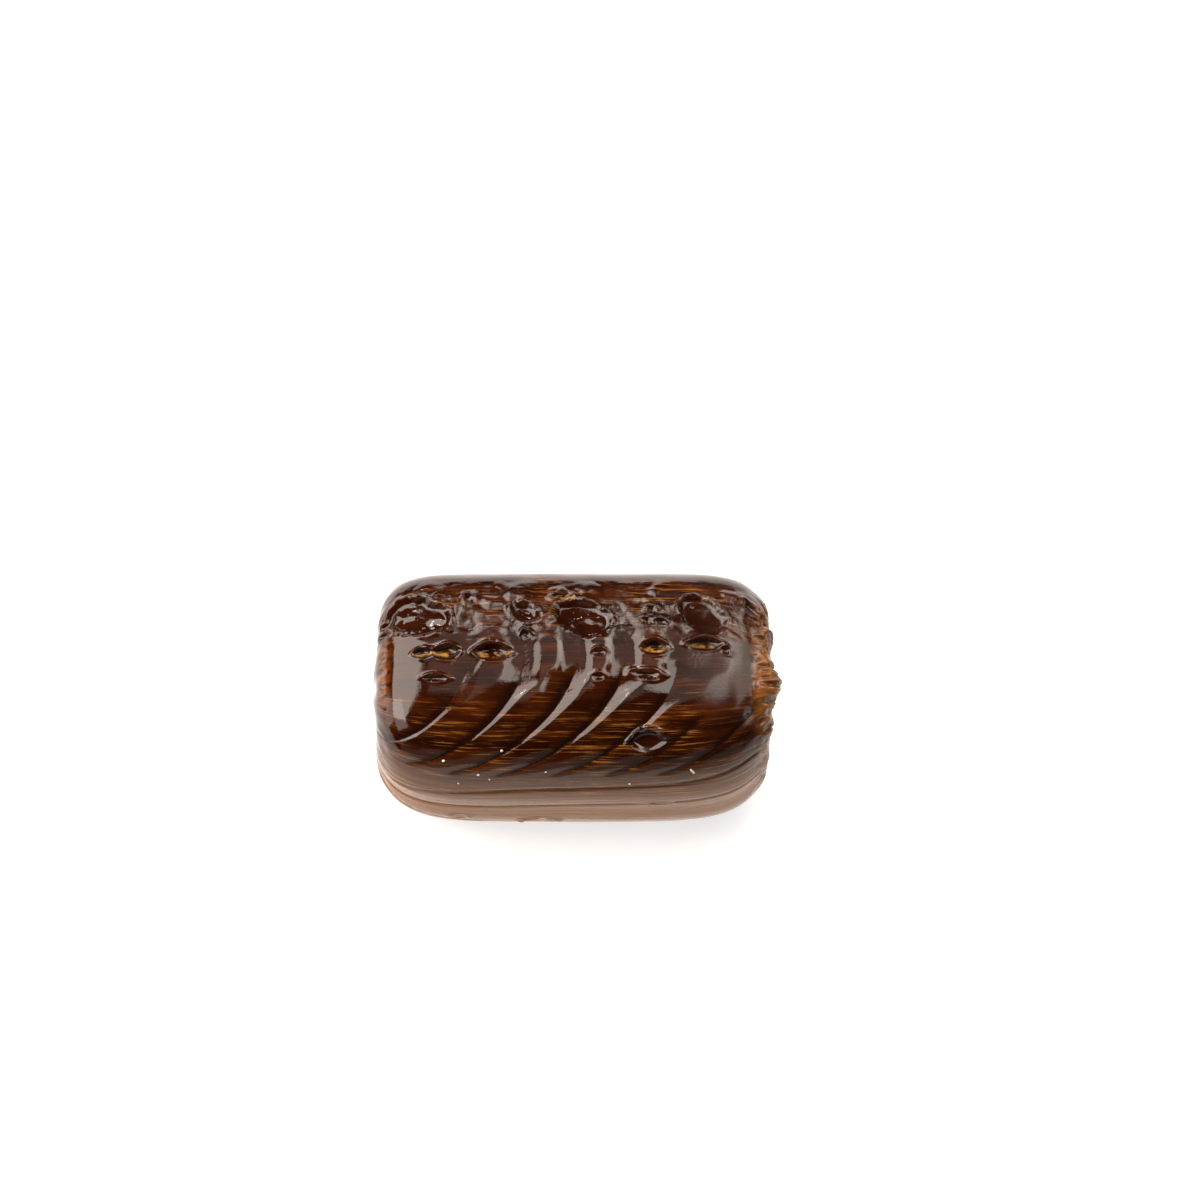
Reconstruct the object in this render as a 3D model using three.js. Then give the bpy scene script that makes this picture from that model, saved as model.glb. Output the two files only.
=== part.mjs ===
// A hard candy of dark pulled sugar, as one solid: a rope of sugar pressed between two dies and
// pinched off at both ends. Units are millimetres, +X runs along the rope, +Z is up, and the origin
// is under the middle of the candy, on the surface that it lies on.
import * as THREE from "three";

// The pressed body, without its relief.
const LENGTH = 26.0;
const WIDTH = 15.7;
const HEIGHT = 12.3;
const SECTION_POWER = 3.0; // 2 gives an oval section, more gives a squarer one
const HEIGHT_PINCH = { power: 9.0, root: 4.2 }; // how each way closes towards the pinched ends
const FRONT_PINCH = { power: 5.2, root: 3.5 };
const BACK_PINCH = { power: 8.2, root: 3.9 };

// The curved bands that both dies leave, and the plain sides between them.
const GROOVES = [-6.8, -3.15, 0.2, 3.35, 6.85, 10.25, 13.7]; // where each groove crosses the ridge line
const GROOVE_DEPTHS = [0.5, 0.55, 0.55, 0.55, 0.5, 0.28, 0.4];
const BAND_PITCH = 3.4;
const BAND_RISE = 0.36; // share of a band that slopes up from the groove on its left
const BAND_DROP = 0.13; // share that falls to the groove on its right
const BAND_CROWN = 0.06;
const ARC_RADIUS = 6.6;
const ARC_FLARE = 4.0;
const BANDS_END = 8.2; // girth from the ridge line at which the arcs run into the side
const SIDE_GROOVE = { girth: 9.15, slope: -0.04, bend: -0.0005, width: 0.3, depth: 0.22 };
const PARTING_LINE = { girth: 11.3, slope: -0.06, bend: 0, width: 0.28, depth: 0.2 };
const SIDE_ROLL = 0.12; // swell of the strip between the side groove and the parting line

// Burst bubbles: x and girth of the middle, half sizes along each, and depth.
const BUBBLES = [
  { x: -9.9, girth: -3.6, along: 2.0, across: 1.75, depth: 0.75 },
  { x: -12.3, girth: -2.4, along: 0.5, across: 0.45, depth: 0.35 },
  { x: -5.3, girth: -2.9, along: 1.15, across: 1.4, depth: 0.6 },
  { x: -3.0, girth: -3.3, along: 0.95, across: 0.95, depth: 0.45 },
  { x: 0.7, girth: -3.0, along: 1.7, across: 1.5, depth: 0.65 },
  { x: -0.6, girth: -4.7, along: 0.85, across: 0.5, depth: 0.35 },
  { x: 5.2, girth: -3.0, along: 0.8, across: 0.7, depth: 0.35 },
  { x: 8.5, girth: -3.2, along: 1.5, across: 1.5, depth: 0.65 },
  { x: -8.1, girth: -0.5, along: 0.95, across: 0.5, depth: 0.35 },
  { x: -5.1, girth: -0.5, along: 1.3, across: 0.65, depth: 0.5 },
  { x: 5.4, girth: -0.8, along: 0.9, across: 0.5, depth: 0.4 },
  { x: 8.6, girth: -1.1, along: 1.2, across: 0.4, depth: 0.35 },
  { x: 4.8, girth: 1.1, along: 0.95, across: 0.4, depth: 0.25 },
  { x: 4.9, girth: 5.5, along: 1.4, across: 0.8, depth: 0.6 },
];
const BUBBLE_WALL = 0.45; // share of a bubble's radius that its wall takes
const BUBBLE_LIP = 0.08;

// The torn crust round the right end, where the rope was cut off hot.
const CRUST_HEIGHT = 0.5;
const CRUST_RIM = 0.955; // place of the rim, as a share of the half length
const CRUST_SPREAD = 0.05;
const CRUST_LUMPS = [
  { girth: 2.3, spread: 1.5, height: 1.0 },
  { girth: -3.4, spread: 0.9, height: 0.25 },
  { girth: 6.6, spread: 0.7, height: 0.3 },
];
const END_FOLD = 0.16; // depth of the soft folds on both end faces
const END_DIMPLE = 0.25;
const LEFT_RIM_CHIP = 0.12;

// The spot pressed flat underneath, where the hot candy lay.
const REST_CUT = 0.1;
const REST_REACH = { x: 5.4, y: 3.8 };

// The net that the skin is drawn on: its rings bow with the bands where they can.
const RINGS_PER_BAND = [0, 0.12, 0.24, 0.36, 0.49, 0.62, 0.75, 0.87];
const END_RINGS = 15;
const RING_BOW = 2.8; // most that a ring is bowed
const RING_BOW_FULL = 6.5; // distance from the middle up to which rings take the full bow
const COLUMNS = 76;
const FINE_COLUMNS_FROM = -8.0; // girth span in which the columns are closer together
const FINE_COLUMNS_TO = 12.5;
const FINE_COLUMN_DENSITY = 1.9;
const TABLE_STEPS = 4000;

const HALF_LENGTH = LENGTH / 2;
const HALF_WIDTH = WIDTH / 2;
const HALF_HEIGHT = HEIGHT / 2;

function smooth(low, high, value) {
  const share = Math.min(1, Math.max(0, (value - low) / (high - low)));
  return share * share * (3 - 2 * share);
}

function mound(distance) {
  return Math.exp(-distance * distance);
}

// A low, uneven swell over the surface, between -1 and 1, from a few crossing waves. Here and in
// rag, whole numbers of waves go round the candy, so that they close on themselves.
function swell(x, girth) {
  const turn = (Math.PI * girth) / HALF_GIRTH;
  const long = Math.sin(0.55 * x + 0.8 * Math.sin(3 * turn + 1.0)) * Math.cos(3 * turn + 0.3);
  const short = Math.sin(1.7 * x + 7 * turn + 2.0) * Math.sin(0.8 * x - 11 * turn + 0.5);
  return 0.6 * long + 0.4 * short;
}

// A ragged value between 0 and 1 round the girth, for torn edges.
function rag(girth, seed) {
  const turn = (Math.PI * girth) / HALF_GIRTH;
  const wave = Math.sin(10 * turn + seed) + Math.sin(22 * turn + 2.3 * seed + Math.sin(7 * turn));
  return Math.abs(wave) / 2;
}

function pinch(share, { power, root }) {
  return Math.pow(Math.max(0, 1 - Math.pow(Math.abs(share), power)), 1 / root);
}

// The middle section at an angle from straight up, turning towards the front (-Y).
function sectionAt(angle) {
  const sine = Math.sin(angle);
  const cosine = Math.cos(angle);
  const sum =
    Math.pow(Math.abs(sine) / HALF_WIDTH, SECTION_POWER) +
    Math.pow(Math.abs(cosine) / HALF_HEIGHT, SECTION_POWER);
  const radius = Math.pow(sum, -1 / SECTION_POWER);
  return { y: -radius * sine, z: radius * cosine };
}

// Lengths run up along a curve, so that places on it can be found by distance.
function lengthTable(pointAt, from, to) {
  const table = [{ at: from, run: 0 }];
  let last = pointAt(from);
  for (let i = 1; i <= TABLE_STEPS; i++) {
    const at = from + ((to - from) * i) / TABLE_STEPS;
    const next = pointAt(at);
    const run = table[i - 1].run + Math.hypot(next.y - last.y, next.z - last.z);
    table.push({ at, run });
    last = next;
  }
  return table;
}

function lookUp(table, key, value, result) {
  let low = 0;
  let high = table.length - 1;
  while (high - low > 1) {
    const middle = (low + high) >> 1;
    if (table[middle][key] <= value) low = middle;
    else high = middle;
  }
  const step = table[high][key] - table[low][key];
  const share = step > 0 ? (value - table[low][key]) / step : 0;
  return table[low][result] + share * (table[high][result] - table[low][result]);
}

const girthTable = lengthTable(sectionAt, 0, Math.PI);
const HALF_GIRTH = girthTable[TABLE_STEPS].run;

// A point of the plain body: share runs from -1 to 1 along the length, girth from the ridge line.
function bodyPoint(share, girth) {
  const angle = Math.sign(girth) * lookUp(girthTable, "run", Math.abs(girth), "at");
  const section = sectionAt(angle);
  const backness = smooth(-HALF_WIDTH, HALF_WIDTH, section.y);
  const front = pinch(share, FRONT_PINCH);
  const width = front + (pinch(share, BACK_PINCH) - front) * backness;
  return new THREE.Vector3(
    HALF_LENGTH * share,
    section.y * width,
    section.z * pinch(share, HEIGHT_PINCH),
  );
}

function bodyNormal(share, girth) {
  const alongStep = Math.min(1e-4, (1 - Math.abs(share)) / 2);
  const aroundStep = 1e-2;
  const along = bodyPoint(share + alongStep, girth).sub(bodyPoint(share - alongStep, girth));
  const around = bodyPoint(share, girth + aroundStep).sub(bodyPoint(share, girth - aroundStep));
  return along.cross(around).negate().normalize();
}

// How far left of its crossing with the ridge line an arc has swept at a distance from that line.
function arcSweep(distance) {
  const reach = Math.min(distance, BANDS_END);
  const flare = ARC_FLARE * (1 - Math.sqrt(1 - (reach / BANDS_END) ** 2));
  return reach ** 2 / (2 * ARC_RADIUS) + flare;
}

function bandRelief(x, distance) {
  const station = x + arcSweep(distance);
  let right = GROOVES.findIndex((groove) => station < groove);
  if (right < 0) right = GROOVES.length;
  const left = right - 1;
  const leftPlace = left >= 0 ? GROOVES[left] : GROOVES[0] - 2 * BAND_PITCH;
  const rightPlace = right < GROOVES.length ? GROOVES[right] : leftPlace + 2 * BAND_PITCH;
  const leftDepth = left >= 0 ? GROOVE_DEPTHS[left] : 0;
  const rightDepth = right < GROOVES.length ? GROOVE_DEPTHS[right] : 0;
  const rise = smooth(0, BAND_RISE * BAND_PITCH, station - leftPlace);
  const drop = smooth(0, BAND_DROP * BAND_PITCH, rightPlace - station);
  const middle = (station - leftPlace) / (rightPlace - leftPlace);
  const crown = BAND_CROWN * Math.sin(Math.PI * middle);
  const fade = 1 - smooth(BANDS_END - 2.2, BANDS_END, distance);
  return fade * (crown - leftDepth * (1 - rise) - rightDepth * (1 - drop));
}

function grooveRelief(x, distance, { girth, slope, bend, width, depth }) {
  const place = girth + slope * x + bend * x ** 3;
  return -depth * mound((distance - place) / width);
}

function sideRelief(x, girth) {
  const fromRidge = Math.min(Math.abs(girth), HALF_GIRTH - Math.abs(girth));
  const groove = grooveRelief(x, fromRidge, SIDE_GROOVE);
  const parting = grooveRelief(x, Math.abs(girth), PARTING_LINE);
  const middle = (SIDE_GROOVE.girth + PARTING_LINE.girth) / 2;
  return groove + parting + SIDE_ROLL * mound(fromRidge - middle);
}

function bubbleRelief(x, girth) {
  let depth = 0;
  let lip = 0;
  for (const bubble of BUBBLES) {
    const radius = Math.hypot((x - bubble.x) / bubble.along, (girth - bubble.girth) / bubble.across);
    depth = Math.max(depth, bubble.depth * (1 - smooth(1 - BUBBLE_WALL, 1, radius)));
    lip = Math.max(lip, BUBBLE_LIP * mound((radius - 1.1) / 0.2));
  }
  return lip - depth;
}

// Soft folds that run in to a shallow dimple, where the rope was squeezed shut.
function endRelief(share, girth) {
  const turn = (Math.PI * girth) / HALF_GIRTH;
  const radius = pinch(share, HEIGHT_PINCH);
  const folds = 0.5 + 0.5 * Math.sin(7 * turn + 1.4 * Math.sin(3 * turn + Math.sign(share)));
  return END_FOLD * folds * mound((radius - 0.5) / 0.2) + END_DIMPLE * mound(radius / 0.3);
}

function crustRelief(share, girth) {
  const face = smooth(0.4, 0.78, pinch(share, HEIGHT_PINCH));
  const rim = face * mound((share - CRUST_RIM) / CRUST_SPREAD);
  let height = CRUST_HEIGHT * (0.25 + 0.75 * rag(girth, 0.7));
  for (const lump of CRUST_LUMPS) height += lump.height * mound((girth - lump.girth) / lump.spread);
  const chips = LEFT_RIM_CHIP * face * mound((share + CRUST_RIM) / CRUST_SPREAD) * rag(girth, 3.1);
  return rim * height - chips - endRelief(share, girth);
}

function relief(share, girth, point) {
  const fromRidge = Math.min(Math.abs(girth), HALF_GIRTH - Math.abs(girth));
  const body = 1 - smooth(0.955, 0.992, Math.abs(share));
  const pressed = Math.hypot(point.x / REST_REACH.x, point.y / REST_REACH.y);
  const free = point.z > 0 ? 1 : smooth(0.75, 1.15, pressed);
  const stamped = bandRelief(point.x, fromRidge) + sideRelief(point.x, girth);
  const pitted = stamped + bubbleRelief(point.x, girth) + 0.06 * swell(point.x, girth);
  return free * body * pitted + crustRelief(share, girth);
}

// Stations of the rings on the ridge line, as shares of the half length: by band over the bands,
// and at even steps along the outline over both ends.
function ringShares() {
  const outline = (angle) => {
    const share = Math.sin(angle);
    const radius = (pinch(share, FRONT_PINCH) + pinch(share, HEIGHT_PINCH)) / 2;
    return { y: HALF_LENGTH * share, z: HALF_HEIGHT * 0.8 * radius };
  };
  const table = lengthTable(outline, 0, Math.PI / 2);
  const total = table[TABLE_STEPS].run;
  const bands = [GROOVES[0] - BAND_PITCH, ...GROOVES.slice(0, -1)];
  const shares = [];
  for (let i = 0; i + 1 < bands.length; i++) {
    for (const part of RINGS_PER_BAND) {
      shares.push((bands[i] + part * (bands[i + 1] - bands[i])) / HALF_LENGTH);
    }
  }
  for (const side of [-1, 1]) {
    const edge = side < 0 ? bands[0] : bands[bands.length - 1];
    const edgeRun = lookUp(table, "at", Math.asin(Math.abs(edge) / HALF_LENGTH), "run");
    const first = side < 0 ? 1 : 0;
    for (let i = first; i < END_RINGS; i++) {
      const run = edgeRun + ((total - edgeRun) * i) / END_RINGS;
      shares.push(side * Math.sin(lookUp(table, "run", run, "at")));
    }
  }
  return shares.sort((a, b) => a - b);
}

// The share of the length that a ring has at a girth, once it is bowed.
function bowedShare(share, girth) {
  const x = HALF_LENGTH * share;
  const fromRidge = Math.min(Math.abs(girth), HALF_GIRTH - Math.abs(girth));
  const bow = Math.min(RING_BOW, arcSweep(fromRidge));
  const full = 1 - smooth(RING_BOW_FULL, 0.96 * HALF_LENGTH, Math.abs(x));
  return (x - full * bow) / HALF_LENGTH;
}

// Girths for the columns, closer together over the top and the front.
function columnGirths() {
  const steps = 2000;
  const weights = [0];
  for (let i = 1; i <= steps; i++) {
    const girth = -HALF_GIRTH + (2 * HALF_GIRTH * (i - 0.5)) / steps;
    const fine = girth > FINE_COLUMNS_FROM && girth < FINE_COLUMNS_TO;
    weights.push(weights[i - 1] + (fine ? FINE_COLUMN_DENSITY : 1));
  }
  const girths = [];
  let step = 0;
  for (let i = 0; i < COLUMNS; i++) {
    const wanted = (weights[steps] * (i + 0.5)) / COLUMNS;
    while (weights[step + 1] < wanted) step++;
    const share = (wanted - weights[step]) / (weights[step + 1] - weights[step]);
    girths.push(-HALF_GIRTH + (2 * HALF_GIRTH * (step + share)) / steps);
  }
  return girths;
}

function surfacePoint(share, girth) {
  const point = bodyPoint(share, girth);
  const height = relief(share, girth, point);
  point.addScaledVector(bodyNormal(share, girth), height);
  point.z = Math.max(point.z, REST_CUT - HALF_HEIGHT);
  return { point, height };
}

// The closed skin: rings joined by quads, each split along its more level diagonal, and two poles.
function candyGeometry() {
  const shares = ringShares();
  const girths = columnGirths();
  const positions = [];
  const heights = [];
  for (const share of shares) {
    for (const girth of girths) {
      const { point, height } = surfacePoint(bowedShare(share, girth), girth);
      positions.push(point.x, point.y, point.z);
      heights.push(height);
    }
  }
  const faces = [];
  for (let ring = 0; ring + 1 < shares.length; ring++) {
    for (let column = 0; column < COLUMNS; column++) {
      const next = (column + 1) % COLUMNS;
      const a = ring * COLUMNS + column;
      const b = ring * COLUMNS + next;
      const c = a + COLUMNS;
      const d = b + COLUMNS;
      if (Math.abs(heights[a] - heights[d]) < Math.abs(heights[b] - heights[c])) {
        faces.push(a, b, d, a, d, c);
      } else {
        faces.push(a, b, c, b, d, c);
      }
    }
  }
  const lastRing = (shares.length - 1) * COLUMNS;
  const leftPole = positions.length / 3;
  const rightPole = leftPole + 1;
  const poleX = HALF_LENGTH - END_DIMPLE;
  positions.push(-poleX, 0, 0, poleX, 0, 0);
  for (let column = 0; column < COLUMNS; column++) {
    const next = (column + 1) % COLUMNS;
    faces.push(leftPole, next, column);
    faces.push(rightPole, lastRing + column, lastRing + next);
  }
  const geometry = new THREE.BufferGeometry();
  geometry.setAttribute("position", new THREE.Float32BufferAttribute(positions, 3));
  geometry.setIndex(faces);
  geometry.computeBoundingBox();
  const { min, max } = geometry.boundingBox;
  geometry.translate(-(min.x + max.x) / 2, -(min.y + max.y) / 2, -min.z);
  geometry.computeVertexNormals();
  return geometry;
}

const candy = new THREE.Mesh(
  candyGeometry(),
  new THREE.MeshStandardMaterial({ color: 0x4a2410, roughness: 0.18, metalness: 0 }),
);
candy.name = "hard_candy";

const part = new THREE.Group();
part.add(candy);

export default part;
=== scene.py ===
import math

import bpy
import numpy as np
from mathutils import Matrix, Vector, noise


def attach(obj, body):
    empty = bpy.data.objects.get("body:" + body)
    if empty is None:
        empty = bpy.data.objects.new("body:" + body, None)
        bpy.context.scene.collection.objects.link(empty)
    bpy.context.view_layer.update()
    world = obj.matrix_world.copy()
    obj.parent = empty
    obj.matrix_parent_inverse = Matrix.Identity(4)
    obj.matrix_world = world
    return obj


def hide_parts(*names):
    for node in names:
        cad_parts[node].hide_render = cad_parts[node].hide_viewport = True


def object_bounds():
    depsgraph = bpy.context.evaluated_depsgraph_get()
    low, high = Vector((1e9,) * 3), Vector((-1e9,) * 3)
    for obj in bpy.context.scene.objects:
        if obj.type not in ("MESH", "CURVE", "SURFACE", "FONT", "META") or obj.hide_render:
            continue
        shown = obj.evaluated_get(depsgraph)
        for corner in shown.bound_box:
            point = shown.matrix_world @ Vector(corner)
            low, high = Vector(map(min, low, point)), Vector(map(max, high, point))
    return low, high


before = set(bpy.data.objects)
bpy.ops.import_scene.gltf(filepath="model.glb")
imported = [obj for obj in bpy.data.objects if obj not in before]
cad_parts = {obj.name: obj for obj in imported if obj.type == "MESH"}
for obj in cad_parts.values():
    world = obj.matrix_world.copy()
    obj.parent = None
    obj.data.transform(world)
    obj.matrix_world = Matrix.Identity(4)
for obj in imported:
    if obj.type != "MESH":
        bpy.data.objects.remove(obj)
cad_low, cad_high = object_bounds()
bpy.ops.object.select_all(action="DESELECT")


# The candy: one pillow of dark pulled sugar. A hot rope of it is pressed between two dies, which
# leave the curved bands and the grooved sides, and it is pinched off at both ends. Bubbles burst
# in its top while it cools.
MM = 0.001
LENGTH = 26.0  # sizes here are in millimetres
WIDTH = 15.7
HEIGHT = 12.3
SECTION_POWER = 3.0
HEIGHT_PINCH = (9.0, 4.2)  # the power and the root with which an outline closes at the ends
FRONT_PINCH = (5.2, 3.5)
BACK_PINCH = (8.2, 3.9)
REST_CUT = 0.1
REST_REACH = (5.4, 3.8)  # half the flat spot underneath, along and across

HALF_LENGTH = LENGTH / 2
HALF_WIDTH = WIDTH / 2
HALF_HEIGHT = HEIGHT / 2
CURVE_STEPS = 4001  # for measuring along a curve


def smooth(low, high, value):
    """0 below low, 1 above high, and a soft step between."""
    share = np.clip((value - low) / (high - low), 0.0, 1.0)
    return share * share * (3 - 2 * share)


def mound(distance):
    return np.exp(-np.square(distance))


def pinch(share, closing):
    """What is left of a width or height at a share of the half length."""
    power, root = closing
    return np.maximum(0.0, 1 - np.abs(share) ** power) ** (1 / root)


def section_at(angle):
    """The middle section at an angle from straight up, turning towards the front."""
    sine, cosine = np.sin(angle), np.cos(angle)
    sideways, upright = np.abs(sine) / HALF_WIDTH, np.abs(cosine) / HALF_HEIGHT
    radius = (sideways**SECTION_POWER + upright**SECTION_POWER) ** (-1 / SECTION_POWER)
    return -radius * sine, radius * cosine


turns = np.linspace(0, math.pi, CURVE_STEPS)
turn_y, turn_z = section_at(turns)
turn_runs = np.concatenate([[0], np.cumsum(np.hypot(np.diff(turn_y), np.diff(turn_z)))])
HALF_GIRTH = turn_runs[-1]


def rope_section(girth):
    """Where a girth from the ridge line lies on the middle section."""
    angle = np.sign(girth) * np.interp(np.abs(girth), turn_runs, turns)
    return section_at(angle)


def body_point(share, girth):
    """A point of the plain pillow; girth runs from the ridge line, and is positive at the front."""
    y, z = rope_section(girth)
    backness = smooth(-HALF_WIDTH, HALF_WIDTH, y)
    front = pinch(share, FRONT_PINCH)
    width = front + (pinch(share, BACK_PINCH) - front) * backness
    return np.stack([HALF_LENGTH * share, y * width, z * pinch(share, HEIGHT_PINCH)], axis=-1)


def body_normal(share, girth):
    step = np.minimum(1e-4, (1 - np.abs(share)) / 2)
    along = body_point(share + step, girth) - body_point(share - step, girth)
    around = body_point(share, girth + 1e-2) - body_point(share, girth - 1e-2)
    normal = -np.cross(along, around)
    return normal / np.maximum(np.linalg.norm(normal, axis=-1, keepdims=True), 1e-20)


def spot_noise(points, scale, seed=0.0):
    """Smooth noise between about -1 and 1 at points in millimetres; scale is in waves per mm."""
    moved = points * np.asarray(scale, float) + seed
    return np.array([noise.noise(Vector(place)) for place in moved])


# The bands, the side grooves and the parting line of the dies. Each band climbs out of the groove
# on its left, rounds over, and slopes down into the next one. Lists that follow the depths also
# count one spare groove before the first and one after the last.
GROOVES = np.array([-6.8, -3.15, 0.2, 3.35, 6.85, 10.25, 13.7])
GROOVE_DEPTHS = np.array([0.15, 0.22, 0.32, 0.34, 0.26, 0.2, 0.26])
CLIMB_STEEPNESS = np.array([1.0, 2.3, 1.6, 1.1, 1.0, 1.2, 1.0, 1.0, 1.0])
CLIMB_STEEPENS = np.array([0, 2.8, 1.3, 0.3, 1.0, 2.2, 0, 0, 0])  # at this girth, or 0 for steep all over
STEEPENS_WITHIN = 1.8
SLOW_CLIMB_LOSS = 0.65  # of the steepness above that girth
SLOW_DEPTH_LOSS = 0.5
SHORT_GROOVE = 6  # counted with the spare one in front, as is the gentle one
SHORT_GROOVE_STARTS = (3.4, 5.0)  # as a distance from the ridge line
GENTLE_GROOVE = 5  # the band climbs slowly out of this one on the top too
BAND_PITCH = 3.4
# Each pair is the way from the groove in mm and the share of its depth that is left there.
TOP_RISE = ((0.0, 0.24), (0.75, 0.22), (1.2, 0.0))
FRONT_RISE = ((0.0, 1.0), (0.8, 0.13), (1.0, 0.0))
TOP_FALL = ((0.0, 0.24), (0.7, 0.22), (1.12, 0.0))
FRONT_FALL = ((0.0, 1.0), (0.5, 0.7), (1.0, 0.4), (1.5, 0.15), (1.9, 0.0))
# Each pair is a distance from the ridge line and a factor there.
RISE_SHORTENS = ((2.6, 1.0), (4.2, 1.6), (8.2, 3.0))
FRONT_DEPTHS = ((2.0, 1.0), (3.4, 0.6), (4.2, 0.46), (5.5, 0.33), (6.6, 0.4), (8.2, 0.3))
# Girths between which one part of the candy goes over into the next.
FRONT_STARTS = (0.1, 1.7)
SIDE_STARTS = (8.0, 10.0)
UNDERSIDE_STARTS = (12.0, 17.0)
BACK_STARTS = (3.0, 4.8)
BACK_LOSS = 0.9  # how much of the bands is missing on the back
BACK_SWEEP = 0.45
BAND_CROWN = 0.05
ARC_RADIUS = 6.6
ARC_FLARE = 4.0
BANDS_END = 8.2
BANDS_FADE = 0.9


def arc_sweep(girth):
    """How far to the left the arc of a band lies; it bends less on the back of the top."""
    reach = np.minimum(np.minimum(np.abs(girth), HALF_GIRTH - np.abs(girth)), BANDS_END)
    flare = ARC_FLARE * (1 - np.sqrt(1 - (reach / BANDS_END) ** 2))
    behind = smooth(0, 0.8, -girth) * (1 - smooth(8, 14, -girth))
    return (reach**2 / (2 * ARC_RADIUS) + flare) * (1 - (1 - BACK_SWEEP) * behind)


def slow_part(groove, girth):
    """1 where a band still climbs slowly out of the groove, 0 where the climb is steep."""
    way = girth - CLIMB_STEEPENS[groove]
    return np.where(CLIMB_STEEPENS[groove] > 0, 1 - smooth(0.0, STEEPENS_WITHIN, way), 0)


def band_relief(x, girth, distance, coarse):
    """The height of the bands, the painted shade of a valley, and how rough the foot of a band is."""
    station = x + arc_sweep(girth)
    spare = 2 * BAND_PITCH
    places = np.concatenate([[GROOVES[0] - spare], GROOVES, [GROOVES[-1] + spare]])
    depths = np.concatenate([[0], GROOVE_DEPTHS, [0]])
    right = np.clip(np.searchsorted(places, station, side="right"), 1, len(places) - 1)
    left = right - 1
    started = smooth(*SHORT_GROOVE_STARTS, distance)
    front = smooth(*FRONT_STARTS, girth + 0.6 * coarse) * (1 - smooth(*UNDERSIDE_STARTS, girth))

    depth = 1 + front * (np.interp(distance, *zip(*FRONT_DEPTHS)) - 1)
    left_depth = depth * depths[left] * np.where(left == SHORT_GROOVE, started, 1)
    right_depth = depth * depths[right] * np.where(right == SHORT_GROOVE, started, 1)
    left_slow = slow_part(left, girth)
    left_depth = left_depth * (1 - SLOW_DEPTH_LOSS * front * left_slow)
    right_depth = right_depth * (1 - SLOW_DEPTH_LOSS * front * slow_part(right, girth))
    slow = 1 - SLOW_CLIMB_LOSS * left_slow
    steep = np.where(left == GENTLE_GROOVE, slow, 1 + front * (slow - 1))
    steep = steep * (1 + front * (CLIMB_STEEPNESS[left] - 1))

    behind = (station - places[left]) * steep * np.interp(distance, *zip(*RISE_SHORTENS))
    ahead = places[right] - station
    top_rise, top_fall = np.interp(behind, *zip(*TOP_RISE)), np.interp(ahead, *zip(*TOP_FALL))
    rise = top_rise * (1 - front) + np.interp(behind, *zip(*FRONT_RISE)) * front
    fall = top_fall * (1 - front) + np.interp(ahead, *zip(*FRONT_FALL)) * front
    valley_depth_and_shade = left_depth * rise + right_depth * fall
    crown = BAND_CROWN * np.sin(math.pi * np.clip((station - places[left]) / BAND_PITCH, 0, 1)) ** 2
    crown = crown * np.minimum(1, 5 * np.minimum(left_depth, right_depth))

    # Painted shade: the valleys are darkened, fully on the front and by half on the top.
    front_shade = np.minimum(1, 8 * right_depth / depth) * smooth(0.4, 0.8, fall)
    top_sunk = np.maximum(top_rise * (left_depth > 0), top_fall * (right_depth > 0))
    top_shade = 0.5 * smooth(0.08, 0.2, top_sunk)
    shade = (front_shade * front + top_shade * (1 - front)) * (1 - smooth(*SIDE_STARTS, girth))
    foot = smooth(0.0, 0.25, behind) * (1 - smooth(0.3, 0.7, behind))
    ragged = foot * (1 - smooth(2.5, 6.0, girth)) * np.minimum(1, 5 * left_depth)
    at_back = 1 - BACK_LOSS * smooth(*BACK_STARTS, -girth) * (1 - smooth(*UNDERSIDE_STARTS, -girth))
    on = (1 - smooth(BANDS_END - BANDS_FADE, BANDS_END, distance)) * at_back
    return on * (crown - valley_depth_and_shade), on * shade, on * ragged


SIDE_GROOVE = 9.15  # the grooves' distance from the ridge line, half way along the candy
PARTING_LINE = 11.3
GROOVE_WIDTH = 0.14
GROOVE_DEPTH = 0.1
SIDE_ROLL = 10.22
SIDE_ROLL_HEIGHT = 0.12


def groove_relief(x, distance, middle, slope, bend):
    place = middle + slope * x + bend * x**3
    return -GROOVE_DEPTH * mound((distance - place) / GROOVE_WIDTH)


def side_relief(x, girth):
    from_ridge = np.minimum(np.abs(girth), HALF_GIRTH - np.abs(girth))
    groove = groove_relief(x, from_ridge, SIDE_GROOVE, -0.04, -0.0005)
    parting = groove_relief(x, np.abs(girth), PARTING_LINE, -0.06, 0)
    roll = SIDE_ROLL_HEIGHT * mound(from_ridge - SIDE_ROLL)
    return groove + parting + roll


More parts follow.
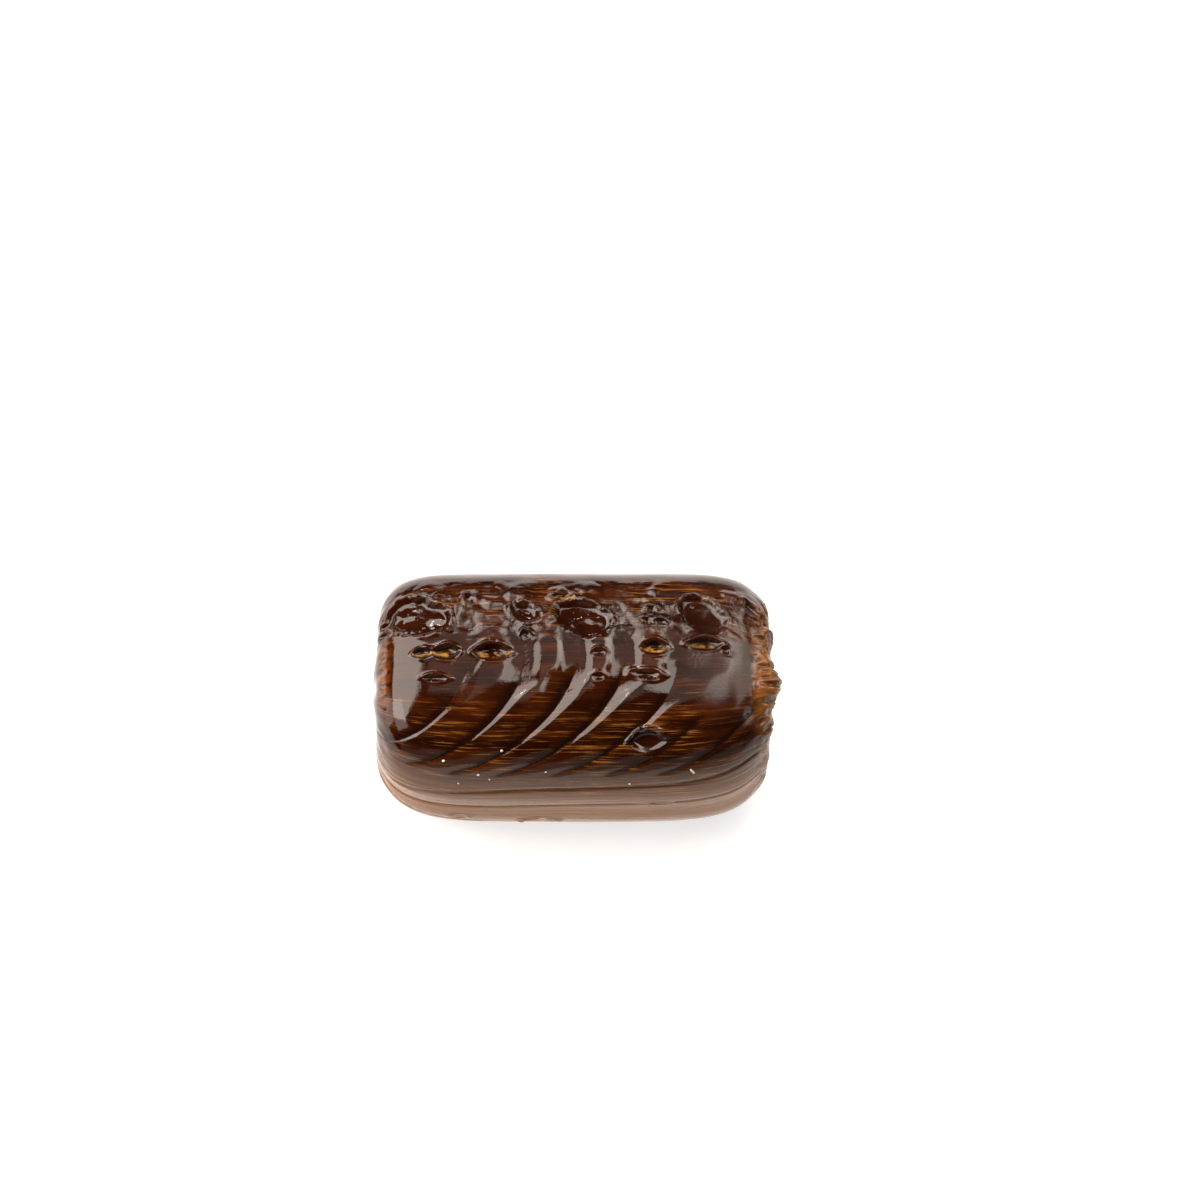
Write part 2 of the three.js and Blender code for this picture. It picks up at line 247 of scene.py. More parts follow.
# Burst bubbles: x, girth, half size along, half size round, depth and kind. A hollow is rounded,
# with an uneven floor that is deepest at the back, and a slit and a cup are shaped like an eye.
HOLLOW = 0
SLIT = 1
CUP = 2
BUBBLES = (
    (-10.1, -3.4, 2.1, 1.8, 0.6, HOLLOW),
    (-10.7, -4.2, 0.8, 0.6, 0.25, HOLLOW),
    (-10.8, -2.1, 0.45, 0.3, 0.25, HOLLOW),
    (-12.1, -2.8, 0.35, 0.4, 0.3, HOLLOW),
    (-6.7, -4.5, 0.4, 0.5, 0.25, HOLLOW),
    (-3.0, -3.4, 1.0, 0.9, 0.4, HOLLOW),
    (-2.9, -1.7, 0.35, 0.4, 0.12, HOLLOW),
    (0.7, -3.0, 1.8, 1.55, 0.5, HOLLOW),
    (-0.6, -4.7, 0.9, 0.5, 0.35, SLIT),
    (5.2, -3.6, 0.4, 0.3, 0.25, HOLLOW),
    (4.9, -2.7, 0.35, 0.3, 0.25, HOLLOW),
    (5.8, -2.7, 0.35, 0.3, 0.25, HOLLOW),
    (8.5, -3.2, 1.5, 1.55, 0.5, HOLLOW),
    (11.7, -4.5, 0.7, 0.8, 0.2, HOLLOW),
    (-9.6, -0.45, 0.75, 0.42, 0.4, SLIT),
    (-8.05, -0.5, 1.0, 0.6, 0.55, SLIT),
    (-5.07, -0.5, 1.45, 0.7, 0.7, SLIT),
    (1.76, -0.5, 0.5, 0.3, 0.15, CUP),
    (5.4, -0.83, 1.0, 0.6, 0.6, SLIT),
    (8.6, -1.1, 1.4, 0.5, 0.55, SLIT),
    (9.95, -0.7, 0.3, 0.36, 0.25, HOLLOW),
    (-8.8, 1.38, 1.0, 0.3, 0.16, CUP),
    (1.76, 1.25, 0.5, 0.3, 0.12, CUP),
    (4.8, 1.1, 1.0, 0.4, 0.2, HOLLOW),
    (4.9, 5.6, 1.35, 0.95, 0.6, CUP),
    (5.6, 11.0, 1.2, 0.18, 0.12, SLIT),
    (-7.3, 13.3, 0.7, 0.4, 0.12, SLIT),
    (-2.1, 13.8, 1.4, 0.5, 0.12, SLIT),
)
BUBBLE_WALL = 0.43
WALL_SHARES = (0.75, 0.4, 0.6)  # the most that the wall takes of the radius, by kind
BUBBLE_LIP = 0.12
LIP_WIDTH = 0.13
HOLLOW_LEAN = 0.4  # mm to the right for each mm towards the front


def bubble_relief(x, girth, coarse, fine):
    """The hollows with their lips; also how far inside a point is, and, for slits only, the band where
    the golden glow is painted.
    """
    depth = np.zeros_like(x)
    lip = np.zeros_like(x)
    inside = np.zeros_like(x)
    slit = np.zeros_like(x)
    for place, around, half_long, half_round, deep, kind in BUBBLES:
        lean = HOLLOW_LEAN * (girth - around) if kind == HOLLOW else 0
        along, across = (x - place - lean) / half_long, (girth - around) / half_round
        radius = np.hypot(along, across) if kind == HOLLOW else along**2 + np.abs(across)
        radius = radius * (1 + (0.22 if kind == HOLLOW else 0.08) * coarse + 0.07 * fine)
        small = min(half_long, half_round)
        wall = WALL_SHARES[kind]
        if kind == HOLLOW:
            wall = min(wall, BUBBLE_WALL / small)
        hollow = 1 - smooth(1 - wall, 1, radius)
        floor = deep * (0.62 - 0.38 * np.clip(across, -1, 1))
        if kind == SLIT:
            floor = floor * (1 - 0.85 * np.minimum(along**2, 1)) * (1 + 0.3 * fine)
        else:
            floor = floor * (1 + 0.3 * coarse + 0.12 * fine)
        depth = np.maximum(depth, floor * hollow)
        inside = np.maximum(inside, smooth(0.05, 0.5, hollow))
        if kind == SLIT:
            # Painted glow: a golden band across the middle of a slit, light seen through the sugar.
            glint = smooth(-0.3, 0.0, across) * (1 - smooth(0.25, 0.5, across))
            slit = np.maximum(slit, hollow * glint)
        far_side = 1 - 0.8 * smooth(-0.2, 0.6, across)
        ring = mound((radius - 1.03) * small / LIP_WIDTH)
        lip = np.maximum(lip, BUBBLE_LIP * far_side * (1 + 1.5 * fine) * ring)
    return lip - depth, inside, slit


def wrinkle_relief(girth, coarse, fine):
    """The broken skin among the burst bubbles behind the ridge line."""
    zone = smooth(1.2, 2.6, -girth) * (1 - smooth(5.2, 6.8, -girth))
    crease = (1 - 2 * np.abs(coarse)) ** 2
    return zone * (0.14 * coarse + 0.05 * fine - 0.08 * crease), zone


# The torn crust round the right end and the folds of both ends.
CRUST_AT = 0.96  # as a share of the half length
CRUST_REACH = 0.038
CRUST_LUMPS = ((2.0, 2.0, 0.95), (-3.4, 0.9, 0.3), (6.4, 0.8, 0.35))  # girth, spread and height
CRUST_CELLS = 1.6  # cells per mm
LEFT_RIM_AT = -0.94
LEFT_RIM_REACH = 0.03
CHIP_DEPTH = 0.14
RIGHT_ORANGE_AT = 0.915
RIGHT_ORANGE_REACH = 0.02
FOLDS = 7
FOLD_DEPTH = 0.16
TIP_DEPTH = 0.25


def end_relief(share, girth):
    """How deep the folds and the dimple in the middle of an end are."""
    turn = math.pi * girth / HALF_GIRTH
    radius = pinch(share, HEIGHT_PINCH)
    folds = 0.5 + 0.5 * np.sin(FOLDS * turn + 1.4 * np.sin(3 * turn + np.sign(share)))
    return FOLD_DEPTH * folds * mound((radius - 0.5) / 0.2) + TIP_DEPTH * mound(radius / 0.3)


def crust_relief(share, girth, coarse, ridges):
    """The height of both ends, and where the crust and the left rim are."""
    face = smooth(0.4, 0.78, pinch(share, HEIGHT_PINCH))
    rim = face * mound((share - CRUST_AT) / CRUST_REACH) * (0.3 + 0.7 * mound((girth - 1.0) / 7.0))
    height = 0.15 + 0.35 * coarse + 0.22 * ridges
    for around, spread, tall in CRUST_LUMPS:
        height = height + tall * mound((girth - around) / spread) * (0.85 + 0.3 * ridges)
    left_rim = face * mound((share - LEFT_RIM_AT) / LEFT_RIM_REACH)
    chips = CHIP_DEPTH * left_rim * np.abs(coarse)
    return rim * height - chips - end_relief(share, girth), rim, left_rim


SWELL_HEIGHT = 0.02


def swell(x, girth):
    """Slow waves in the skin, between about -1 and 1."""
    turn = math.pi * girth / HALF_GIRTH
    long = np.sin(0.55 * x + 0.8 * np.sin(3 * turn + 1.0)) * np.cos(3 * turn + 0.3)
    short = np.sin(1.7 * x + 7 * turn + 2.0) * np.sin(0.8 * x - 11 * turn + 0.5)
    return 0.6 * long + 0.4 * short


# The mesh: rings across the candy, which lie closest at the grooves and bow along with the bands,
# and columns along it, which lie closest on the top and the front.
COLUMNS = 400
END_RINGS = 42
RINGS_IN_BAND = (  # from and to, as shares of the way to the next groove, and how many
    (0.0, 0.05, 3),
    (0.05, 0.3, 7),
    (0.3, 0.5, 3),
    (0.5, 0.93, 9),
    (0.93, 1.0, 4),
)
RING_BOW = 3.0
RING_BOW_FULL = 6.5  # the bow fades out from here to the ends
FINE_COLUMNS = (-8.0, 12.8)
FINE_DENSITY = 1.75


def ring_shares():
    """Places of the rings as shares of the half length: by band, then evenly over both ends."""
    places = [GROOVES[0] - BAND_PITCH, *GROOVES[:-1]]
    shares = []
    for left, right in zip(places, places[1:]):
        for start, stop, count in RINGS_IN_BAND:
            parts = np.linspace(start, stop, count, endpoint=False)
            shares.extend((left + parts * (right - left)) / HALF_LENGTH)
    angle = np.linspace(0, math.pi / 2, CURVE_STEPS)
    radius = (pinch(np.sin(angle), FRONT_PINCH) + pinch(np.sin(angle), HEIGHT_PINCH)) / 2
    steps = np.hypot(np.diff(HALF_LENGTH * np.sin(angle)), np.diff(HALF_HEIGHT * 0.8 * radius))
    runs = np.concatenate([[0], np.cumsum(steps)])
    for side, edge, first in ((-1, places[0], 1), (1, places[-1], 0)):
        edge_run = np.interp(math.asin(abs(edge) / HALF_LENGTH), angle, runs)
        stops = edge_run + (runs[-1] - edge_run) * np.arange(first, END_RINGS) / END_RINGS
        shares.extend(side * np.sin(np.interp(stops, runs, angle)))
    return np.sort(shares)


def column_girths():
    steps = np.linspace(-HALF_GIRTH, HALF_GIRTH, CURVE_STEPS)
    middles = (steps[1:] + steps[:-1]) / 2
    fine = (middles > FINE_COLUMNS[0]) & (middles < FINE_COLUMNS[1])
    weights = np.concatenate([[0], np.cumsum(np.where(fine, FINE_DENSITY, 1.0))])
    return np.interp((np.arange(COLUMNS) + 0.5) / COLUMNS * weights[-1], weights, steps)


shares = ring_shares()
girths = column_girths()
last_ring = len(shares) + 1
bpy.ops.mesh.primitive_uv_sphere_add(segments=COLUMNS, ring_count=last_ring, radius=1, calc_uvs=False)
candy = bpy.context.object
candy.name = "pulled_sugar_candy"
bpy.ops.object.mode_set(mode="EDIT")
bpy.ops.mesh.select_all(action="SELECT")
bpy.ops.transform.rotate(value=math.pi / 2, orient_axis="Y", center_override=(0, 0, 0))
bpy.ops.object.mode_set(mode="OBJECT")

ball = np.empty(len(candy.data.vertices) * 3)
candy.data.vertices.foreach_get("co", ball)
ball = ball.reshape(-1, 3)
ring = np.rint((1 - np.arccos(np.clip(ball[:, 0], -1, 1)) / math.pi) * last_ring).astype(int)
column = np.arctan2(-ball[:, 1], ball[:, 2]) / (2 * math.pi) * COLUMNS + COLUMNS / 2
column = np.rint(column).astype(int)
share = np.concatenate([[-1], shares, [1]])[ring]
girth = girths[column % COLUMNS]
girth[(ring == 0) | (ring == last_ring)] = 0

from_ridge = np.minimum(np.abs(girth), HALF_GIRTH - np.abs(girth))
bow = np.minimum(RING_BOW, arc_sweep(girth))
full = 1 - smooth(RING_BOW_FULL, 0.96 * HALF_LENGTH, np.abs(HALF_LENGTH * share))
share = share - full * bow / HALF_LENGTH

poles = np.abs(share) > 1 - 1e-9
inner = np.where(poles, 0.5, share)
point = body_point(inner, girth)
normal = body_normal(inner, girth)
point[poles] = np.stack([HALF_LENGTH * share[poles], 0 * share[poles], 0 * share[poles]], axis=-1)
normal[poles] = np.stack([np.sign(share[poles]), 0 * share[poles], 0 * share[poles]], axis=-1)
rope_y, rope_z = rope_section(girth)
tip = 1 - smooth(0.15, 0.6, pinch(inner, HEIGHT_PINCH)) * ~poles
rope_y = rope_y + tip * (point[:, 1] - rope_y)
rope_z = rope_z + tip * (point[:, 2] - rope_z)
rope = np.stack([point[:, 0], rope_y, rope_z], axis=-1)

x = point[:, 0]
coarse = spot_noise(rope, 0.8, 11.0)
fine = spot_noise(rope, 2.1, 5.0)
ridges = np.zeros_like(x)
torn_end = share > 0.85
cells = np.array([noise.voronoi(Vector(place) * CRUST_CELLS)[0] for place in point[torn_end]])
ridges[torn_end] = 1 - smooth(0.05, 0.4, cells[:, 1] - cells[:, 0])
bands, valley_depth_and_shade, ragged = band_relief(x, girth, from_ridge, coarse)
sides = side_relief(x, girth)
bubbles, inside, slit = bubble_relief(x, girth, coarse, fine)
wrinkles, zone = wrinkle_relief(girth, coarse, fine)
crust, rim, left_rim = crust_relief(share, girth, coarse, ridges)
body = 1 - smooth(0.955, 0.992, np.abs(share))
pressed = np.hypot(x / REST_REACH[0], point[:, 1] / REST_REACH[1])
free = np.where(point[:, 2] > 0, 1.0, smooth(0.75, 1.15, pressed))
relief = bands * (1 - inside) + sides + bubbles + wrinkles * (1 - inside) + SWELL_HEIGHT * swell(x, girth)
relief = free * body * relief + crust
end_orange = left_rim + mound((share - RIGHT_ORANGE_AT) / RIGHT_ORANGE_REACH)
end_orange = end_orange * smooth(-3.0, -1.5, girth) * (1 - smooth(3.0, 4.5, girth))
point += normal * relief[:, None]
point[:, 2] = np.maximum(point[:, 2], REST_CUT - HALF_HEIGHT)
point[:, 0] += cad_low.x / MM - point[:, 0].min()
point[:, 1] += (cad_low.y + cad_high.y) / 2 / MM - (point[:, 1].min() + point[:, 1].max()) / 2
point[:, 2] -= point[:, 2].min()
candy.data.vertices.foreach_set("co", (point * MM).ravel())
candy.data.update()
bpy.ops.object.shade_smooth()

# Masks for the material. Three of them carry painted light: painted shade inside the bubbles and in the
# valleys, and a painted golden glow in the slits.
for name, values in (
    ("bubble", inside * body * (1 - smooth(8.0, 9.0, girth))),
    ("slit", slit * body),
    ("valley_depth_and_shade", valley_depth_and_shade * body),
    ("skin", np.maximum(zone * (1 - inside), 0.5 * ragged) * body),
    ("torn", rim),
    ("ridge", rim * ridges),
    ("end_orange", end_orange),
    ("cap", 1 - smooth(0.25, 0.92, pinch(share, HEIGHT_PINCH))),
):
    attribute = candy.data.attributes.new(name, "FLOAT", "POINT")
    attribute.data.foreach_set("value", values.astype(float))
run = np.stack([x, np.abs(girth), from_ridge], axis=-1)
for name, values in (("rope", rope), ("run", run)):
    attribute = candy.data.attributes.new(name, "FLOAT_VECTOR", "POINT")
    attribute.data.foreach_set("vector", values.ravel())


def new_material(name):
    material = bpy.data.materials.new(name)
    material.use_nodes = True
    material.node_tree.nodes.clear()
    return material


def add_node(material, kind, **settings):
    """A node with its settings; a setting whose name is a socket's goes to that socket."""
    node = material.node_tree.nodes.new("ShaderNode" + kind)
    for key, value in settings.items():
        if hasattr(node, key):
            setattr(node, key, value)
        else:
            node.inputs[key.replace("_", " ")].default_value = value
    return node


def join(material, out_socket, in_socket):
    material.node_tree.links.new(out_socket, in_socket)


# The sugar: two browns in clouds, drawn out into amber and dark threads, with painted light laid
# on top: a painted glow of light through the sugar low on the side, on the ends, along the lower
# rim and on the crust's ridges, painted shade in the valleys, the bubbles and the side grooves, and
# a painted golden glow in the slits. It is orange in bands near the rims of both ends.
DARK_BROWN = (0.012, 0.0018, 0.0004, 1)
RED_BROWN = (0.04, 0.0074, 0.001, 1)
AMBER = (0.3, 0.112, 0.02, 1)
DARK_THREAD = (0.024, 0.005, 0.0015, 1)
SIDE_GLOW_AMBER = (0.285, 0.108, 0.018, 1)
SIDE_GLOW_THREAD = (0.42, 0.23, 0.09, 1)
RIM_GLOW_GOLD = (0.72, 0.4, 0.09, 1)
BUBBLE_SHADE = (0.02, 0.0036, 0.0008, 1)
SLIT_GLOW_GOLD = (0.4, 0.19, 0.036, 1)
VALLEY_SHADE = (0.009, 0.0022, 0.0009, 1)
LINE_SHADE_AND_MARK = (0.045, 0.011, 0.004, 1)
END_ORANGE = (0.27, 0.085, 0.022, 1)
TORN_BROWN = (0.085, 0.022, 0.004, 1)
TORN_EDGE_GLOW = (0.36, 0.15, 0.035, 1)
# Distances from the ridge line between which the threads, the painted glow low on the side and
# along the lower rim, and the dimming of that glow underneath come in.
THREADS_START = (1.2, 3.4)
SIDE_GLOW_STARTS = (6.5, 13.0)
RIM_GLOW_STARTS = (13.9, 15.2)
DARK_BELOW = (15.3, 17.8)
BACK_HALF = (0.0, 7.0)  # the same across the candy
DULL_RIGHT = (5.5, 9.5)  # and along it
# Thin dark lines along the sides, painted shade where they lie in the side groove and the parting
# line: the direction and the place that die_line takes, width and strength.
SIDE_LINES = (
    ((0.042, 0, 1), 9.15, 0.1, 1.0),
    ((0.044, 0, 1), 8.6, 0.06, 0.3),
    ((0.05, 0, 1), 9.75, 0.07, 0.55),
    ((0.052, 0, 1), 10.1, 0.05, 0.35),
    ((0.055, 0, 1), 10.55, 0.08, 0.6),
    ((0.06, 1, 0), 11.3, 0.1, 0.9),
    ((0.055, 1, 0), 11.75, 0.06, 0.35),
    ((0.05, 1, 0), 12.5, 0.08, 0.5),
    ((0.045, 1, 0), 13.2, 0.06, 0.4),
)

sugar = new_material("pulled_sugar")
rope_place = add_node(sugar, "Attribute", attribute_name="rope")
rope_parts = add_node(sugar, "SeparateXYZ")
join(sugar, rope_place.outputs["Vector"], rope_parts.inputs[0])
course = add_node(sugar, "Attribute", attribute_name="run")
course_parts = add_node(sugar, "SeparateXYZ")
join(sugar, course.outputs["Vector"], course_parts.inputs[0])
round_girth = course_parts.outputs["Y"]


def mask(name):
    return add_node(sugar, "Attribute", attribute_name=name).outputs["Fac"]


def streaks(along, across, detail, roughness, seed):
    """Noise of so many waves per mm along and across the candy."""
    stretch = add_node(sugar, "Mapping")
    stretch.inputs["Scale"].default_value = (along, across, across)
    stretch.inputs["Location"].default_value = (seed, seed, seed)
    join(sugar, rope_place.outputs["Vector"], stretch.inputs["Vector"])
    texture = add_node(sugar, "TexNoise", Scale=1.0, Detail=detail, Roughness=roughness)
    join(sugar, stretch.outputs["Vector"], texture.inputs["Vector"])
    return texture.outputs["Fac"]


def math_node(operation, first, second):
    node = add_node(sugar, "Math", operation=operation)
    for socket, value in zip(node.inputs, (first, second)):
        if isinstance(value, (int, float)):
            socket.default_value = value
        else:
            join(sugar, value, socket)
    return node.outputs[0]


def times(first, second):
    return math_node("MULTIPLY", first, second)


def plus(first, second):
    return math_node("ADD", first, second)


def fade_node(value, low, high, low_value=0.0, high_value=1.0):
    node = add_node(sugar, "MapRange", interpolation_type="SMOOTHSTEP")
    for socket, number in zip(list(node.inputs)[1:5], (low, high, low_value, high_value)):
        socket.default_value = number
    join(sugar, value, node.inputs[0])
    return node.outputs[0]


def die_line(direction, place_at, width):
    """A thin line where the run measured along the direction equals place_at."""
    dot = add_node(sugar, "VectorMath", operation="DOT_PRODUCT")
    dot.inputs[1].default_value = direction
    join(sugar, course.outputs["Vector"], dot.inputs[0])
    gap = math_node("ABSOLUTE", math_node("SUBTRACT", dot.outputs["Value"], place_at), 0)
    return fade_node(gap, 0.0, width, 1.0, 0.0)


def mix_colours(share_socket, first, second):
    node = add_node(sugar, "Mix", data_type="RGBA")
    join(sugar, share_socket, node.inputs["Factor"])
    for socket, value in ((node.inputs[6], first), (node.inputs[7], second)):
        if isinstance(value, tuple):
            socket.default_value = value
        else:
            join(sugar, value, socket)
    return node.outputs[2]


threads = streaks(0.32, 9.5, 4.0, 0.62, 3.0)
broad = streaks(0.12, 1.4, 2.0, 0.5, 17.0)
patches = streaks(0.3, 0.45, 2.0, 0.5, 31.0)
clouds = streaks(0.45, 0.9, 3.0, 0.5, 43.0)
grain = streaks(5.0, 5.0, 3.0, 0.6, 7.0)
tone = plus(times(broad, 0.5), times(clouds, 0.5))
colour = mix_colours(fade_node(tone, 0.38, 0.62), DARK_BROWN, RED_BROWN)
not_cap = math_node("SUBTRACT", 1, mask("cap"))
off_top = times(fade_node(round_girth, *THREADS_START, 0.15, 0.95), not_cap)
amber = times(fade_node(threads, 0.53, 0.71), fade_node(patches, 0.36, 0.6, 0.15, 1.0))
colour = mix_colours(times(amber, off_top), colour, AMBER)
dark_threads = times(fade_node(threads, 0.5, 0.38), times(not_cap, 0.4))
colour = mix_colours(dark_threads, colour, DARK_THREAD)

# Painted glow: paler amber low on the side and on the ends, light from the table seen through it.
lit_side = times(not_cap, fade_node(rope_parts.outputs["Y"], *BACK_HALF, 1.0, 0.35))
lit_side = times(lit_side, fade_node(round_girth, *DARK_BELOW, 1.0, 0.3))
side_glow = times(fade_node(round_girth, *SIDE_GLOW_STARTS), lit_side)
side_glow = plus(side_glow, times(mask("cap"), 0.2))
# Painted glow: a golden line of light through the thin lower rim.
rim_glow = times(fade_node(round_girth, *RIM_GLOW_STARTS), times(lit_side, lit_side))
colour = mix_colours(times(side_glow, 0.8), colour, SIDE_GLOW_AMBER)
colour = mix_colours(times(rim_glow, 0.85), colour, RIM_GLOW_GOLD)
# Paler threads within the same painted glow.
side_glow_threads = fade_node(streaks(0.14, 11.0, 3.0, 0.6, 61.0), 0.5, 0.68)
colour = mix_colours(times(times(side_glow_threads, side_glow), 0.5), colour, SIDE_GLOW_THREAD)

# Painted shade: the insides of the bubbles darkened.
colour = mix_colours(times(mask("bubble"), 0.93), colour, BUBBLE_SHADE)
# Painted golden glow in the slits, in patches.
slit_glow = times(fade_node(streaks(1.8, 3.0, 2.0, 0.5, 23.0), 0.4, 0.6), 0.85)
colour = mix_colours(times(mask("slit"), slit_glow), colour, SLIT_GLOW_GOLD)
# Painted shade: the valleys before the grooves darkened.
colour = mix_colours(times(mask("valley_depth_and_shade"), 0.93), colour, VALLEY_SHADE)
# Painted shade in the side groove and the parting line, and fine dark lines of the die.
lines = None
for direction, place_at, width, strength in SIDE_LINES:
    line = times(die_line(direction, place_at, width), strength)
    lines = line if lines is None else math_node("MAXIMUM", lines, line)
lines = times(lines, not_cap)
colour = mix_colours(times(lines, 0.8), colour, LINE_SHADE_AND_MARK)
# Orange in a band along the rim of the left end and in another near the right end.
orange = times(fade_node(streaks(1.8, 1.8, 3.0, 0.6, 53.0), 0.42, 0.58), 0.65)
colour = mix_colours(times(mask("end_orange"), orange), colour, END_ORANGE)
colour = mix_colours(times(mask("torn"), 0.75), colour, TORN_BROWN)
# Painted glow: paler amber along the thin ridges of the crust, light seen through them.
colour = mix_colours(times(mask("ridge"), 0.6), colour, TORN_EDGE_GLOW)

gloss = plus(times(patches, 0.08), fade_node(rope_parts.outputs["X"], *DULL_RIGHT, 0.02, 0.15))
height = times(threads, plus(times(side_glow, 0.8), 0.1))
height = plus(height, times(grain, 0.25))
height = plus(height, times(times(mask("skin"), grain), 1.6))
height = math_node("SUBTRACT", height, times(lines, 1.2))
bump = add_node(sugar, "Bump", Strength=0.3, Distance=0.05 * MM)
join(sugar, height, bump.inputs["Height"])
shader = add_node(sugar, "BsdfPrincipled", IOR=1.42)
shader.inputs["Subsurface Weight"].default_value = 0.08
shader.inputs["Subsurface Radius"].default_value = (1.0, 0.35, 0.12)
shader.inputs["Subsurface Scale"].default_value = 1.0 * MM
join(sugar, colour, shader.inputs["Base Color"])
join(sugar, gloss, shader.inputs["Roughness"])
join(sugar, bump.outputs["Normal"], shader.inputs["Normal"])
output = add_node(sugar, "OutputMaterial")
join(sugar, shader.outputs["BSDF"], output.inputs["Surface"])
candy.data.materials.append(sugar)

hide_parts("hard_candy")
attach(candy, "root")


# Sugar dust: a few white grains, and one pale flake, that stuck to the front while the candy was
# still tacky.
GRAIN_RADIUS = 0.12
GRAIN_SHAPE = (1.0, 0.8, 0.7)
GRAINS = (  # x and girth
    (-6.3, 7.95),
    (-5.65, 8.25),
    (-7.55, 8.75),
    (-8.6, 7.05),
    (-4.9, 6.2),
    (3.4, 8.6),
    (-1.9, 7.6),
)
FLAKE_AT = (7.35, 7.7)
FLAKE_SIZE = (0.12, 0.42, 0.07)
FLAKE_TURN = 35
FLAKE_EDGE = 0.02
SUGAR_SHADE = (0.6, 0.42, 0.26, 1)
SUGAR_WHITE = (0.95, 0.85, 0.7, 1)


def surface_at(place, around):
    """The nearest point of the candy and the way that the surface faces there."""
    nearest = np.argmin(np.square(x - place) + np.square(girth - around))
    return Vector(point[nearest]) * MM, Vector(normal[nearest])


bpy.ops.object.select_all(action="DESELECT")
dust_pieces = []
for number, (place, around) in enumerate(GRAINS):
    at = surface_at(place, around)[0]
    size = GRAIN_RADIUS * (0.75 + 0.25 * math.sin(5.0 * number)) * MM
    tumble = (number, 2 * number, 0)
    bpy.ops.mesh.primitive_ico_sphere_add(subdivisions=2, radius=size, location=at, rotation=tumble)
    bpy.context.object.scale = GRAIN_SHAPE
    dust_pieces.append(bpy.context.object)
at, facing = surface_at(*FLAKE_AT)
bpy.ops.mesh.primitive_cube_add(size=MM, location=at, rotation=facing.to_track_quat("Z", "Y").to_euler())
flake = bpy.context.object
flake.scale = FLAKE_SIZE
flake.rotation_euler.rotate_axis("Z", math.radians(FLAKE_TURN))
bevel = flake.modifiers.new("soft_edges", "BEVEL")
bevel.width = FLAKE_EDGE * MM
bevel.segments = 2
bpy.ops.object.modifier_apply(modifier=bevel.name)
for piece in dust_pieces:
    piece.select_set(True)
bpy.ops.object.join()
dust = bpy.context.object
dust.name = "sugar_dust"
bpy.ops.object.transform_apply(location=True, rotation=True, scale=True)
bpy.ops.object.shade_smooth()
white_sugar = new_material("white_sugar")
crystal = add_node(white_sugar, "BsdfPrincipled", Roughness=0.45)
sparkle = add_node(white_sugar, "TexCoord")
mottle = add_node(white_sugar, "TexNoise", Scale=9000.0, Detail=2.0)
join(white_sugar, sparkle.outputs["Object"], mottle.inputs["Vector"])
whites = add_node(white_sugar, "ValToRGB")
whites.color_ramp.elements[0].color = SUGAR_SHADE
whites.color_ramp.elements[1].color = SUGAR_WHITE
join(white_sugar, mottle.outputs["Fac"], whites.inputs["Fac"])
join(white_sugar, whites.outputs["Color"], crystal.inputs["Base Color"])
join(white_sugar, crystal.outputs["BSDF"], add_node(white_sugar, "OutputMaterial").inputs["Surface"])
dust.data.materials.append(white_sugar)
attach(dust, "root")


# The table: a plain white sheet, larger than the camera sees. It gives off a little light of its
# own, so that it stays white right up to the candy.
TABLE_SIZE = 6.0
bpy.ops.mesh.primitive_plane_add(size=TABLE_SIZE, location=(0, 0, 0))
table = bpy.context.object
table.name = "white_table"
sheet = new_material("white_table")
white = add_node(sheet, "BsdfPrincipled", Roughness=0.6)
white.inputs["Base Color"].default_value = (0.6, 0.6, 0.6, 1)
white.inputs["Emission Color"].default_value = (0.93, 0.965, 1, 1)
white.inputs["Emission Strength"].default_value = 0.72
join(sheet, white.outputs["BSDF"], add_node(sheet, "OutputMaterial").inputs["Surface"])
table.data.materials.append(sheet)


# The lights: soft boxes high over the candy at its left and right, and a weak one between them,
# which lay the grey patches on its top. A low card in front lights its side, and four small lamps
# make the glints.
CENTRE = Vector((cad_low.x + HALF_LENGTH * MM, 0, HALF_HEIGHT * MM))


def soft_box(name, rise, turn, wide, tall, distance, radiance, colour):
    """rise is from the horizon at the back up over the top, turn is sideways, both in degrees."""
    rise, turn = math.radians(rise), math.radians(turn)
    away = Vector((math.sin(turn), math.cos(turn) * math.cos(rise), math.cos(turn) * math.sin(rise)))
    lamp = bpy.data.lights.new(name, "AREA")
    lamp.shape = "RECTANGLE"
    lamp.size = wide
    lamp.size_y = tall
    lamp.color = colour
    lamp.energy = radiance * math.pi * wide * tall
    holder = bpy.data.objects.new(name, lamp)
    bpy.context.scene.collection.objects.link(holder)
    holder.location = CENTRE + away * distance
    holder.rotation_euler = away.to_track_quat("Z", "Y").to_euler()


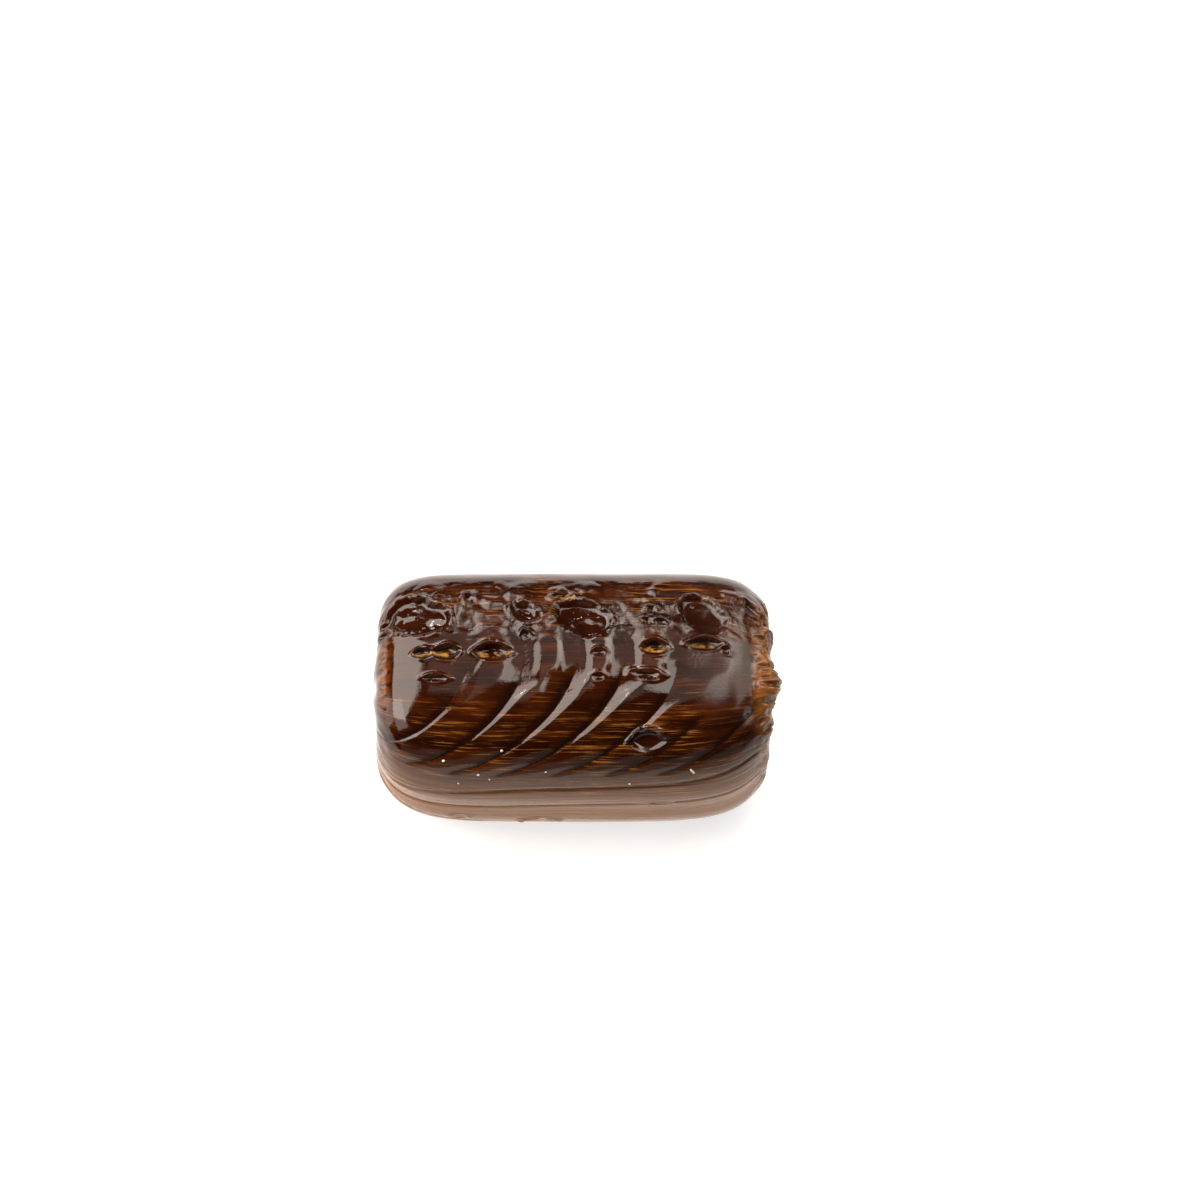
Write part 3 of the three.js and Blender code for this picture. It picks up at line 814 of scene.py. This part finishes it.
WHITE = (1, 1, 1)
WARM = (1, 0.91, 0.82)
WARMER = (1, 0.86, 0.72)
soft_box("left_box", 66, -35, 0.6, 0.33, 0.5, 7.4, WARM)
soft_box("left_wing", 99, -48, 0.3, 0.24, 0.5, 3.2, WARM)
soft_box("left_end", 75, -80, 0.2, 0.3, 0.5, 3.2, WARM)
soft_box("middle_fill", 64, 0, 0.15, 0.22, 0.5, 0.9, WARM)
soft_box("right_strip", 66, 15, 0.09, 0.2, 0.49, 6.2, WARM)
soft_box("right_fill", 58, 33, 0.42, 0.28, 0.5, 3.3, WARMER)
soft_box("right_spot", 53, 26, 0.14, 0.12, 0.48, 4.0, WARM)
soft_box("front_card", 165, 0, 1.4, 0.26, 0.5, 0.42, WARM)
soft_box("low_spark", 43, -14, 0.015, 0.015, 0.5, 90.0, WHITE)
soft_box("back_spark", 31, -3, 0.012, 0.012, 0.5, 110.0, WHITE)
soft_box("left_spark", 50, -22, 0.015, 0.015, 0.5, 50.0, WHITE)
soft_box("right_spark", 100, 60, 0.02, 0.02, 0.5, 30.0, WHITE)

world = bpy.data.worlds.new("room")
bpy.context.scene.world = world
world.use_nodes = True
world.node_tree.nodes["Background"].inputs["Color"].default_value = (0.02, 0.02, 0.02, 1)
bpy.context.scene.view_settings.view_transform = "Standard"


# The camera: a long lens 65 degrees above the table, straight in front of the candy.
PHOTO_SIDE = 1200
PHOTO_SCALE = 15.28  # pixels per millimetre at the candy
PHOTO_CENTRE = (573.1, 697.8)  # where the middle of the candy lies in the photograph
CAMERA_RISE = math.radians(65)
CAMERA_DISTANCE = 0.35
lens = bpy.data.cameras.new("camera")
camera = bpy.data.objects.new("camera", lens)
bpy.context.scene.collection.objects.link(camera)
lens.sensor_width = 36
frame_side = PHOTO_SIDE / PHOTO_SCALE * MM
lens.lens = lens.sensor_width * CAMERA_DISTANCE / frame_side
lens.clip_start = 0.01
back = Vector((0, -math.cos(CAMERA_RISE), math.sin(CAMERA_RISE)))
up = Vector((0, math.sin(CAMERA_RISE), math.cos(CAMERA_RISE)))
right_by = (PHOTO_SIDE / 2 - PHOTO_CENTRE[0]) / PHOTO_SCALE * MM
up_by = (PHOTO_CENTRE[1] - PHOTO_SIDE / 2) / PHOTO_SCALE * MM
camera.location = CENTRE + Vector((right_by, 0, 0)) + up * up_by + back * CAMERA_DISTANCE
camera.rotation_euler = (math.pi / 2 - CAMERA_RISE, 0, 0)
bpy.context.scene.camera = camera
